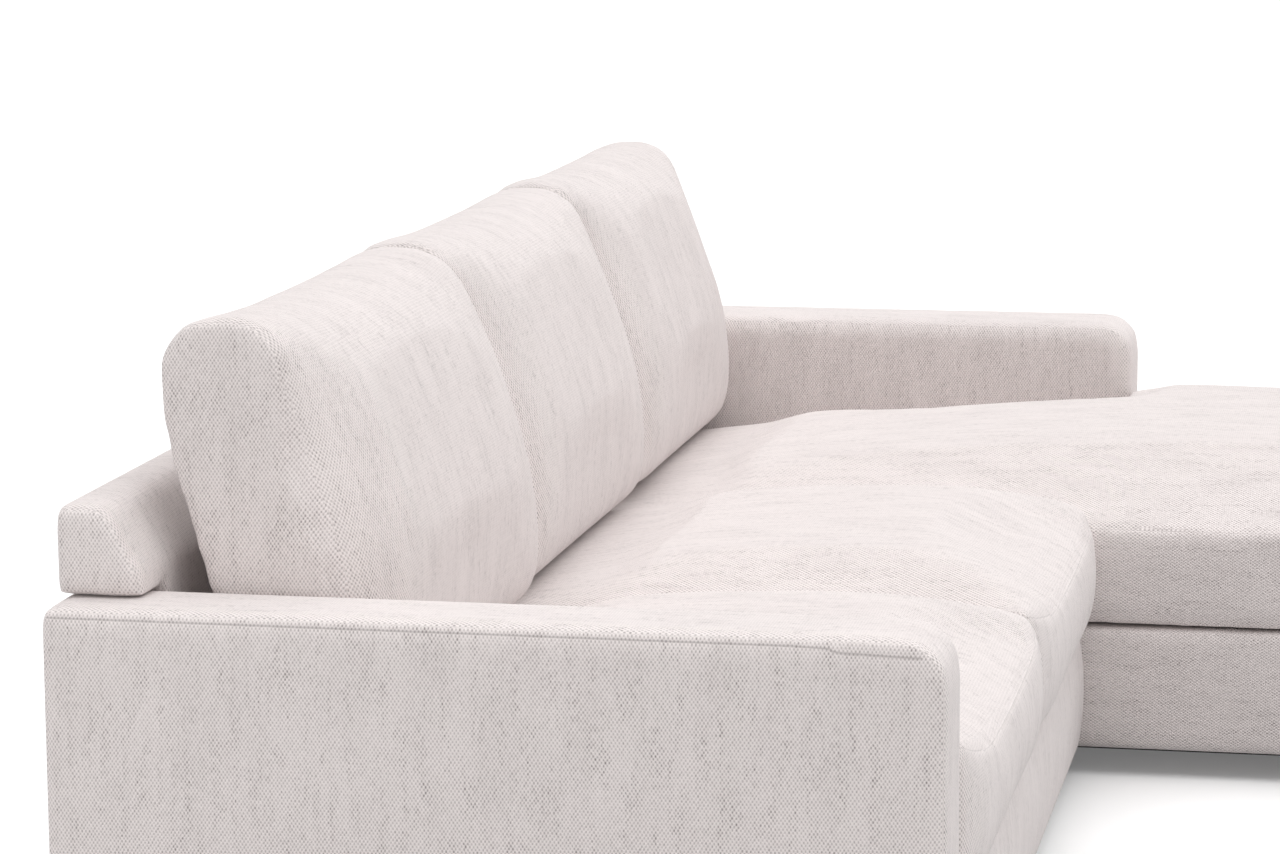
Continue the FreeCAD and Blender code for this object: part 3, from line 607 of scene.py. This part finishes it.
def node_material(name):
    """A new material with its Principled shader and a short way to add and link nodes."""
    material = bpy.data.materials.new(name)
    material.use_nodes = True
    nodes, links = material.node_tree.nodes, material.node_tree.links

    def add(kind, **settings):
        node = nodes.new(kind)
        for key, value in settings.items():
            setattr(node, key, value)
        return node

    return material, nodes["Principled BSDF"], add, links.new


def grain_vector(add, link, side_along_y):
    """Object coordinates turned so that, on each face, the first runs across the cloth and the second along
    its warp: warp upright on fronts and sides, and front to back on tops."""
    place = add("ShaderNodeTexCoord")
    split = add("ShaderNodeSeparateXYZ")
    link(place.outputs["Object"], split.inputs[0])
    normal = add("ShaderNodeNewGeometry")
    facing = add("ShaderNodeSeparateXYZ")
    link(normal.outputs["Normal"], facing.inputs[0])
    sizes = []
    for axis in "XYZ":
        size = add("ShaderNodeMath", operation="ABSOLUTE")
        link(facing.outputs[axis], size.inputs[0])
        sizes.append(size)
    is_top = add("ShaderNodeMath", operation="GREATER_THAN")
    link(sizes[2].outputs[0], is_top.inputs[0])
    is_top.inputs[1].default_value = 0.72
    is_side = add("ShaderNodeMath", operation="GREATER_THAN")
    link(sizes[0].outputs[0], is_side.inputs[0])
    is_side.inputs[1].default_value = 0.70

    def joined(across, along):
        both = add("ShaderNodeCombineXYZ")
        link(split.outputs[across], both.inputs[0])
        link(split.outputs[along], both.inputs[1])
        return both.outputs[0]

    front, top = joined("X", "Z"), joined("X", "Y")
    side = joined("Z", "Y") if side_along_y else joined("Y", "Z")
    out = front
    for chosen, other in ((is_top, top), (is_side, side)):
        mix = add("ShaderNodeMix", data_type="VECTOR")
        link(chosen.outputs[0], mix.inputs["Factor"])
        link(out, mix.inputs[4])
        link(other, mix.inputs[5])
        out = mix.outputs[1]
    return out


def upholstery(name, side_along_y):
    """Chunky off-white weave: light and grey yarns cross in a broken twill, with darker slub streaks."""
    material, shader, add, link = node_material(name)
    grain = grain_vector(add, link, side_along_y)

    def scaled(factors):
        node = add("ShaderNodeVectorMath", operation="MULTIPLY")
        link(grain, node.inputs[0])
        node.inputs[1].default_value = factors
        return node.outputs[0]

    def noise_at(factors, detail, roughness=0.5):
        node = add("ShaderNodeTexNoise")
        link(scaled(factors), node.inputs["Vector"])
        node.inputs["Scale"].default_value = 1
        node.inputs["Detail"].default_value = detail
        node.inputs["Roughness"].default_value = roughness
        return node.outputs["Fac"]

    def ranged(value, low, high, to_low, to_high):
        node = add("ShaderNodeMapRange")
        link(value, node.inputs["Value"])
        for key, number in zip(("From Min", "From Max", "To Min", "To Max"), (low, high, to_low, to_high)):
            node.inputs[key].default_value = number
        return node.outputs["Result"]

    def math_of(operation, a, b):
        node = add("ShaderNodeMath", operation=operation)
        for i, thing in enumerate((a, b)):
            if isinstance(thing, (int, float)):
                node.inputs[i].default_value = thing
            else:
                link(thing, node.inputs[i])
        return node.outputs[0]

    turns = 2 * math.pi / YARN
    apart = add("ShaderNodeSeparateXYZ")
    link(grain, apart.inputs[0])
    shift = math_of("MULTIPLY", noise_at((60, 40, 1), 1), 2.0)
    across = math_of("SINE", math_of("ADD", math_of("MULTIPLY", apart.outputs[0], turns), shift), 0)
    along = math_of("SINE", math_of("ADD", math_of("MULTIPLY", apart.outputs[1], turns * 0.68), shift), 0)
    weave = math_of("MULTIPLY", across, along)
    streaks = ranged(noise_at((85, 15, 1), 4, 0.7), 0.46, 0.66, 0, 1)
    patches = noise_at((22, 6, 1), 3, 0.6)
    slubs = ranged(noise_at((300, 110, 1), 2, 0.7), 0.40, 0.62, 0, 1)
    hollows = ranged(weave, -0.75, 0.25, 1, 0)
    contrast = math_of("ADD", math_of("MULTIPLY", math_of("MULTIPLY", streaks, slubs), 0.46), 0.47)
    total = math_of("MULTIPLY", hollows, contrast)
    total = math_of("ADD", total, math_of("MULTIPLY", math_of("MULTIPLY", streaks, slubs), 0.08))
    total = math_of("ADD", total, ranged(slubs, 0, 1, -0.055, 0.03))
    total = math_of("ADD", total, ranged(patches, 0.3, 0.7, -0.06, 0.07))

    colour = add("ShaderNodeMix", data_type="RGBA")
    link(total, colour.inputs["Factor"])
    colour.inputs[6].default_value = LIGHT_YARN
    colour.inputs[7].default_value = DARK_YARN
    # Painted shade along the seams: the seam mark darkens the weave towards SEAM_SHADE.
    seam = add("ShaderNodeAttribute", attribute_name="seam")
    line = ranged(seam.outputs["Fac"], 0.55, 1.0, 0, 0.55)
    sewn = add("ShaderNodeMix", data_type="RGBA")
    link(line, sewn.inputs["Factor"])
    link(colour.outputs[2], sewn.inputs[6])
    sewn.inputs[7].default_value = SEAM_SHADE
    link(sewn.outputs[2], shader.inputs["Base Color"])
    shader.inputs["Roughness"].default_value = 0.92
    shader.inputs["Specular IOR Level"].default_value = 0.12
    shader.inputs["Sheen Weight"].default_value = 0.25
    shader.inputs["Sheen Roughness"].default_value = 0.6
    height = math_of("ADD", math_of("MULTIPLY", weave, 0.6), math_of("MULTIPLY", slubs, -0.3))
    bump = add("ShaderNodeBump")
    link(height, bump.inputs["Height"])
    bump.inputs["Strength"].default_value = 0.65
    bump.inputs["Distance"].default_value = 0.0012
    link(bump.outputs["Normal"], shader.inputs["Normal"])
    return material


def plain(name, light, dark, stretch, roughness, metallic=0.0, bump_size=0.0004):
    """A material whose colour and height vary with stretched noise."""
    material, shader, add, link = node_material(name)
    place = add("ShaderNodeTexCoord")
    scale = add("ShaderNodeVectorMath", operation="MULTIPLY")
    link(place.outputs["Object"], scale.inputs[0])
    scale.inputs[1].default_value = stretch
    grain = add("ShaderNodeTexNoise")
    link(scale.outputs[0], grain.inputs["Vector"])
    grain.inputs["Scale"].default_value = 1
    grain.inputs["Detail"].default_value = 4
    colour = add("ShaderNodeMix", data_type="RGBA")
    link(grain.outputs["Fac"], colour.inputs["Factor"])
    colour.inputs[6].default_value = (*light, 1)
    colour.inputs[7].default_value = (*dark, 1)
    link(colour.outputs[2], shader.inputs["Base Color"])
    shader.inputs["Roughness"].default_value = roughness
    shader.inputs["Metallic"].default_value = metallic
    bump = add("ShaderNodeBump")
    link(grain.outputs["Fac"], bump.inputs["Height"])
    bump.inputs["Strength"].default_value = 0.4
    bump.inputs["Distance"].default_value = bump_size
    link(bump.outputs["Normal"], shader.inputs["Normal"])
    return material


def paint():
    """Gives every piece and every CAD node the material of its slot."""
    cover, chaise_cover = upholstery("upholstery", False), upholstery("upholstery_lengthwise", True)
    by_slot = {
        "upholstery": cover,
        "foam": plain("foam", (0.86, 0.80, 0.58), (0.72, 0.64, 0.42), (260, 260, 260), 0.95),
        "filling": plain("filling", (0.88, 0.87, 0.83), (0.74, 0.72, 0.68), (120, 120, 120), 0.98),
        "wadding": plain("wadding", (0.82, 0.80, 0.75), (0.64, 0.62, 0.57), (180, 180, 180), 0.98),
        "dust_cloth": plain("dust_cloth", (0.025, 0.025, 0.026), (0.012, 0.012, 0.012), (700, 700, 700),
                            0.9),
        "timber": plain("timber", (0.62, 0.42, 0.23), (0.45, 0.28, 0.14), (6, 60, 60), 0.6),
        "board": plain("board", (0.56, 0.39, 0.22), (0.42, 0.28, 0.15), (60, 6, 6), 0.65),
        "spring_wire": plain("spring_wire", (0.30, 0.31, 0.33), (0.16, 0.16, 0.17), (200, 200, 200),
                             0.35, 1.0),
        "plate_steel": plain("plate_steel", (0.58, 0.59, 0.61), (0.42, 0.43, 0.45), (90, 90, 90),
                             0.38, 1.0),
        "foot_plastic": plain("foot_plastic", (0.030, 0.030, 0.030), (0.018, 0.018, 0.018), (300, 300, 300),
                              0.55),
    }
    slots = {s["node"]: s["material_slot"] for s in frame["record"]["subparts"]}
    for node, obj in frame["nodes"].items():
        obj.data.materials.clear()
        obj.data.materials.append(by_slot[slots[node]])
    for obj in SCENE.objects:
        if obj.type == "MESH" and obj.get("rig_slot"):
            lengthwise = obj.name.startswith("chaise_cushion") or "_base_" in obj.name
            obj.data.materials.clear()
            obj.data.materials.append(chaise_cover if lengthwise else cover)


def set_stage():
    """White floor and surroundings, a wide soft light overhead, a low side panel, and the photo's camera."""
    mesh = bpy.data.meshes.new("floor")
    reach = 30
    mesh.from_pydata([(-reach, -reach, 0), (reach, -reach, 0), (reach, reach, 0), (-reach, reach, 0)], [],
                     [(0, 1, 2, 3)])
    floor = new_object("floor", mesh)
    material, shader, add, link = node_material("floor_white")
    shader.inputs["Roughness"].default_value = 1
    shader.inputs["Specular IOR Level"].default_value = 0
    path = add("ShaderNodeLightPath")
    seen = path.outputs["Is Camera Ray"]
    for kind in ("Is Glossy Ray", "Is Transmission Ray"):
        either = add("ShaderNodeMath", operation="MAXIMUM")
        link(seen, either.inputs[0])
        link(path.outputs[kind], either.inputs[1])
        seen = either.outputs[0]
    for socket, unseen, shown in (("Base Color", FLOOR_UNSEEN, FLOOR_SEEN),
                                  ("Emission Strength", 0, FLOOR_LIFT)):
        mix = add("ShaderNodeMix")
        link(seen, mix.inputs["Factor"])
        mix.inputs[2].default_value, mix.inputs[3].default_value = unseen, shown
        link(mix.outputs[0], shader.inputs[socket])
    shader.inputs["Emission Color"].default_value = (1, 1, 1, 1)
    mesh.materials.append(material)

    world = bpy.data.worlds.new("studio")
    SCENE.world = world
    world.use_nodes = True
    nodes, links = world.node_tree.nodes, world.node_tree.links
    background = nodes["Background"]
    path = nodes.new("ShaderNodeLightPath")
    strength = nodes.new("ShaderNodeMath")
    strength.operation = "MAXIMUM"
    either = None
    for kind in ("Is Camera Ray", "Is Glossy Ray", "Is Transmission Ray"):
        both = nodes.new("ShaderNodeMath")
        both.operation = "MAXIMUM"
        links.new(path.outputs[kind], both.inputs[0])
        if either:
            links.new(either, both.inputs[1])
        either = both.outputs[0]
    links.new(either, strength.inputs[0])
    strength.inputs[1].default_value = SKY
    links.new(strength.outputs[0], background.inputs["Strength"])
    background.inputs["Color"].default_value = (1, 1, 1, 1)

    lamp = bpy.data.lights.new("softbox", "SUN")
    lamp.energy = SOFTBOX
    lamp.angle = SOFTBOX_SPREAD
    holder = bpy.data.objects.new("softbox", lamp)
    SCENE.collection.objects.link(holder)
    holder.rotation_euler = Vector(SOFTBOX_FROM).to_track_quat("Z", "Y").to_euler()
    panel = bpy.data.lights.new("side_panel", "AREA")
    panel.shape = "RECTANGLE"
    panel.size, panel.size_y = PANEL_SIZE
    panel.energy = PANEL_POWER
    holder = bpy.data.objects.new("side_panel", panel)
    SCENE.collection.objects.link(holder)
    holder.location = PANEL_AT
    toward = Vector((NEAR_ARM[0].x, 0, PANEL_AIM_HEIGHT)) - Vector(PANEL_AT)
    holder.rotation_euler = toward.to_track_quat("-Z", "Y").to_euler()

    SCENE.view_settings.view_transform = "Standard"
    camera = bpy.data.cameras.new("camera")
    camera.sensor_width = CAMERA_SENSOR
    camera.lens = CAMERA_LENS
    camera.clip_end = 100
    eye = bpy.data.objects.new("camera", camera)
    SCENE.collection.objects.link(eye)
    yaw, pitch, roll = (math.radians(a) for a in CAMERA_TURNS)
    ahead = Vector((math.cos(yaw) * math.cos(pitch), math.sin(yaw) * math.cos(pitch), -math.sin(pitch)))
    right0 = ahead.cross(Vector((0, 0, 1))).normalized()
    up0 = right0.cross(ahead)
    right = right0 * math.cos(roll) + up0 * math.sin(roll)
    up = up0 * math.cos(roll) - right0 * math.sin(roll)
    turn = Matrix((right, up, -ahead)).transposed()
    eye.matrix_world = Matrix.Translation(CAMERA_AT) @ turn.to_4x4()
    SCENE.camera = eye


for number, side_name in enumerate(("near", "far")):
    finished(arm(side_name), number + 1, ROOT, f"{side_name}_arm_cover")
for number, section_name in enumerate(("seat", "chaise")):
    back(section_name, 5 + number)
    base(section_name, 7 + number)
make_seats()
make_chaise_cushion()
for number, (cushion, shape) in enumerate(BACK_CUSHIONS.items()):
    make_back_cushion(cushion, number, *shape)
paint()
set_stage()
